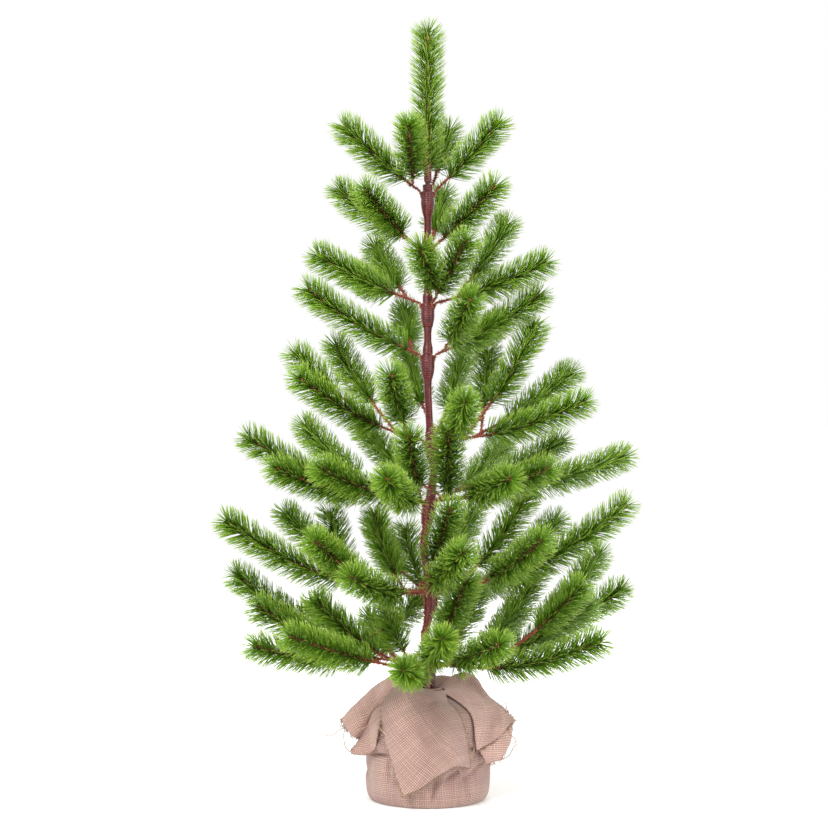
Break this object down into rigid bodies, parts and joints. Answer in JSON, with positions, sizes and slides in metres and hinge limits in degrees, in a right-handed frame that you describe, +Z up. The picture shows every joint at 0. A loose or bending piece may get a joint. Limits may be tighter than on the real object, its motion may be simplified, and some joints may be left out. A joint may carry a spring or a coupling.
{
  "type": "artificial tabletop tree",
  "caption": "Slim artificial tabletop pine with bendable wire branches, a taped trunk and a weighted round base wrapped in burlap with its corners folded out.",
  "frame": {"origin": "centre of the base's flat underside, on the surface that the tree stands on", "axes": "+Z up along the trunk, +X to the right and +Y to the back as the tree is seen from the front, where the pointed burlap corner hangs"},
  "size_m": [0.4921, 0.3863, 0.9],
  "materials": {
    "needles": "satin",
    "wire": "matte",
    "tape": "gloss",
    "burlap": "matte",
    "twine": "matte",
    "core": "satin",
    "pot": "matte",
    "cement": "matte"
  },
  "bodies": {
    "trunk": {"base_weight": "cement", "base_pot": "pot", "burlap_wrap": "burlap", "burlap_corners": "burlap", "neck_tie": "twine", "trunk_pole": "core", "trunk_tape": "tape", "tier_windings": "tape"},
    "leader": {"leader_wire": "wire", "leader_needles": "needles"},
    "branch_1a": {"branch_1a_wires": "wire", "branch_1a_needles": "needles"},
    "branch_1b": {"branch_1b_wires": "wire", "branch_1b_needles": "needles"},
    "branch_1c": {"branch_1c_wires": "wire", "branch_1c_needles": "needles"},
    "branch_2a": {"branch_2a_wires": "wire", "branch_2a_needles": "needles"},
    "branch_2b": {"branch_2b_wires": "wire", "branch_2b_needles": "needles"},
    "branch_2c": {"branch_2c_wires": "wire", "branch_2c_needles": "needles"},
    "branch_3a": {"branch_3a_wires": "wire", "branch_3a_needles": "needles"},
    "branch_3b": {"branch_3b_wires": "wire", "branch_3b_needles": "needles"},
    "branch_3c": {"branch_3c_wires": "wire", "branch_3c_needles": "needles"},
    "branch_4a": {"branch_4a_wires": "wire", "branch_4a_needles": "needles"},
    "branch_4b": {"branch_4b_wires": "wire", "branch_4b_needles": "needles"},
    "branch_5a": {"branch_5a_wires": "wire", "branch_5a_needles": "needles"},
    "branch_5b": {"branch_5b_wires": "wire", "branch_5b_needles": "needles"},
    "branch_5c": {"branch_5c_wires": "wire", "branch_5c_needles": "needles"},
    "branch_6a": {"branch_6a_wires": "wire", "branch_6a_needles": "needles"},
    "branch_6b": {"branch_6b_wires": "wire", "branch_6b_needles": "needles"},
    "branch_6c": {"branch_6c_wires": "wire", "branch_6c_needles": "needles"},
    "branch_6d": {"branch_6d_wires": "wire", "branch_6d_needles": "needles"},
    "branch_7a": {"branch_7a_wires": "wire", "branch_7a_needles": "needles"},
    "branch_7b": {"branch_7b_wires": "wire", "branch_7b_needles": "needles"},
    "branch_7c": {"branch_7c_wires": "wire", "branch_7c_needles": "needles"},
    "branch_7d": {"branch_7d_wires": "wire", "branch_7d_needles": "needles"},
    "branch_8a": {"branch_8a_wires": "wire", "branch_8a_needles": "needles"},
    "branch_8b": {"branch_8b_wires": "wire", "branch_8b_needles": "needles"},
    "branch_8c": {"branch_8c_wires": "wire", "branch_8c_needles": "needles"}
  },
  "joints": [
    {"name": "leader_bend", "type": "hinge", "parent": "trunk", "child": "leader", "pos_m": [0, 0, 0.717], "axis": [0, 1, 0], "range_deg": [-20, 20], "deforming": ["leader_needles"]},
    {"name": "branch_1a_bend", "type": "hinge", "parent": "trunk", "child": "branch_1a", "pos_m": [-0.00897, -0.00078, 0.705], "axis": [-0.0872, 0.9962, 0], "range_deg": [-20, 30], "deforming": ["branch_1a_needles"]},
    {"name": "branch_1b_bend", "type": "hinge", "parent": "trunk", "child": "branch_1b", "pos_m": [0.00869, -0.00233, 0.705], "axis": [-0.2588, -0.9659, 0], "range_deg": [-20, 30], "deforming": ["branch_1b_needles"]},
    {"name": "branch_1c_bend", "type": "hinge", "parent": "trunk", "child": "branch_1c", "pos_m": [0.00308, 0.00846, 0.705], "axis": [0.9397, -0.342, 0], "range_deg": [-20, 30], "deforming": ["branch_1c_needles"]},
    {"name": "branch_2a_bend", "type": "hinge", "parent": "trunk", "child": "branch_2a", "pos_m": [-0.00869, 0.00233, 0.64], "axis": [0.2588, 0.9659, 0], "range_deg": [-20, 30], "deforming": ["branch_2a_needles"]},
    {"name": "branch_2b_bend", "type": "hinge", "parent": "trunk", "child": "branch_2b", "pos_m": [0.00689, -0.00579, 0.64], "axis": [-0.6428, -0.766, 0], "range_deg": [-20, 30], "deforming": ["branch_2b_needles"]},
    {"name": "branch_2c_bend", "type": "hinge", "parent": "trunk", "child": "branch_2c", "pos_m": [0.00156, 0.00886, 0.64], "axis": [0.9848, -0.1736, 0], "range_deg": [-20, 30], "deforming": ["branch_2c_needles"]},
    {"name": "branch_3a_bend", "type": "hinge", "parent": "trunk", "child": "branch_3a", "pos_m": [-0.009, 0, 0.575], "axis": [0, 1, 0], "range_deg": [-20, 30], "deforming": ["branch_3a_needles"]},
    {"name": "branch_3b_bend", "type": "hinge", "parent": "trunk", "child": "branch_3b", "pos_m": [0.00516, -0.00737, 0.575], "axis": [-0.8192, -0.5736, 0], "range_deg": [-20, 30], "deforming": ["branch_3b_needles"]},
    {"name": "branch_3c_bend", "type": "hinge", "parent": "trunk", "child": "branch_3c", "pos_m": [0.00897, -0.00078, 0.575], "axis": [-0.0872, -0.9962, 0], "range_deg": [-20, 30], "deforming": ["branch_3c_needles"]},
    {"name": "branch_4a_bend", "type": "hinge", "parent": "trunk", "child": "branch_4a", "pos_m": [-0.00897, -0.00078, 0.515], "axis": [-0.0872, 0.9962, 0], "range_deg": [-20, 30], "deforming": ["branch_4a_needles"]},
    {"name": "branch_4b_bend", "type": "hinge", "parent": "trunk", "child": "branch_4b", "pos_m": [0.00897, 0.00078, 0.515], "axis": [0.0872, -0.9962, 0], "range_deg": [-15, 30], "deforming": ["branch_4b_needles"]},
    {"name": "branch_5a_bend", "type": "hinge", "parent": "trunk", "child": "branch_5a", "pos_m": [-0.00516, -0.0038, 0.415], "axis": [-0.4226, 0.9063, 0], "range_deg": [-20, 30], "deforming": ["branch_5a_needles"]},
    {"name": "branch_5b_bend", "type": "hinge", "parent": "trunk", "child": "branch_5b", "pos_m": [0.01186, -0.00156, 0.415], "axis": [-0.1736, -0.9848, 0], "range_deg": [-20, 30], "deforming": ["branch_5b_needles"]},
    {"name": "branch_5c_bend", "type": "hinge", "parent": "trunk", "child": "branch_5c", "pos_m": [0.00533, 0.00869, 0.415], "axis": [0.9659, -0.2588, 0], "range_deg": [-20, 30], "deforming": ["branch_5c_needles"]},
    {"name": "branch_6a_bend", "type": "hinge", "parent": "trunk", "child": "branch_6a", "pos_m": [-0.006, 0, 0.345], "axis": [0, 1, 0], "range_deg": [-20, 30], "deforming": ["branch_6a_needles"]},
    {"name": "branch_6b_bend", "type": "hinge", "parent": "trunk", "child": "branch_6b", "pos_m": [0.00067, -0.00869, 0.345], "axis": [-0.9659, 0.2588, 0], "range_deg": [-20, 30], "deforming": ["branch_6b_needles"]},
    {"name": "branch_6c_bend", "type": "hinge", "parent": "trunk", "child": "branch_6c", "pos_m": [0.01037, -0.00516, 0.345], "axis": [-0.5736, -0.8192, 0], "range_deg": [-20, 30], "deforming": ["branch_6c_needles"]},
    {"name": "branch_6d_bend", "type": "hinge", "parent": "trunk", "child": "branch_6d", "pos_m": [0.0075, 0.00779, 0.345], "axis": [0.866, -0.5, 0], "range_deg": [-20, 30], "deforming": ["branch_6d_needles"]},
    {"name": "branch_7a_bend", "type": "hinge", "parent": "trunk", "child": "branch_7a", "pos_m": [-0.00697, -0.00078, 0.24], "axis": [-0.0872, 0.9962, 0], "range_deg": [-15, 25], "deforming": ["branch_7a_needles"]},
    {"name": "branch_7b_bend", "type": "hinge", "parent": "trunk", "child": "branch_7b", "pos_m": [-0.0025, -0.00779, 0.24], "axis": [-0.866, 0.5, 0], "range_deg": [-20, 25], "deforming": ["branch_7b_needles"]},
    {"name": "branch_7c_bend", "type": "hinge", "parent": "trunk", "child": "branch_7c", "pos_m": [0.01097, -0.00078, 0.24], "axis": [-0.0872, -0.9962, 0], "range_deg": [-20, 25], "deforming": ["branch_7c_needles"]},
    {"name": "branch_7d_bend", "type": "hinge", "parent": "trunk", "child": "branch_7d", "pos_m": [-0.00108, 0.00846, 0.24], "axis": [0.9397, 0.342, 0], "range_deg": [-15, 30], "deforming": ["branch_7d_needles"]},
    {"name": "branch_8a_bend", "type": "hinge", "parent": "trunk", "child": "branch_8a", "pos_m": [-0.00897, -0.00078, 0.155], "axis": [-0.0872, 0.9962, 0], "range_deg": [-10, 15], "deforming": ["branch_8a_needles"]},
    {"name": "branch_8b_bend", "type": "hinge", "parent": "trunk", "child": "branch_8b", "pos_m": [-0.00156, -0.00886, 0.155], "axis": [-0.9848, 0.1736, 0], "range_deg": [-10, 25], "deforming": ["branch_8b_needles"]},
    {"name": "branch_8c_bend", "type": "hinge", "parent": "trunk", "child": "branch_8c", "pos_m": [0.00846, -0.00308, 0.155], "axis": [-0.342, -0.9397, 0], "range_deg": [-10, 25], "deforming": ["branch_8c_needles"]}
  ]
}
